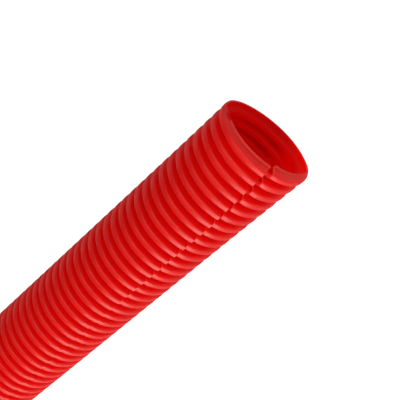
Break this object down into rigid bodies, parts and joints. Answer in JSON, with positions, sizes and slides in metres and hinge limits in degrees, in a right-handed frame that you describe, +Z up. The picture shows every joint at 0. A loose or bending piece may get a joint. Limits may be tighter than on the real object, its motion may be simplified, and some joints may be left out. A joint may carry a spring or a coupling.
{
  "type": "split corrugated conduit",
  "caption": "Thin-walled ribbed plastic conduit, slit along its length so cables can be laid in from the side, cut square at both ends.",
  "frame": {"origin": "on the floor plane under the middle of the tube, where the crests rest", "axes": "+X along the tube, +Z up, the slit on the upper side leaning towards -Y"},
  "size_m": [0.9992, 0.0284, 0.0285],
  "materials": {
    "red_plastic": "semi-gloss moulded plastic, bright signal red through the wall"
  },
  "bodies": {
    "root": {"conduit": "red_plastic"}
  },
  "joints": []
}
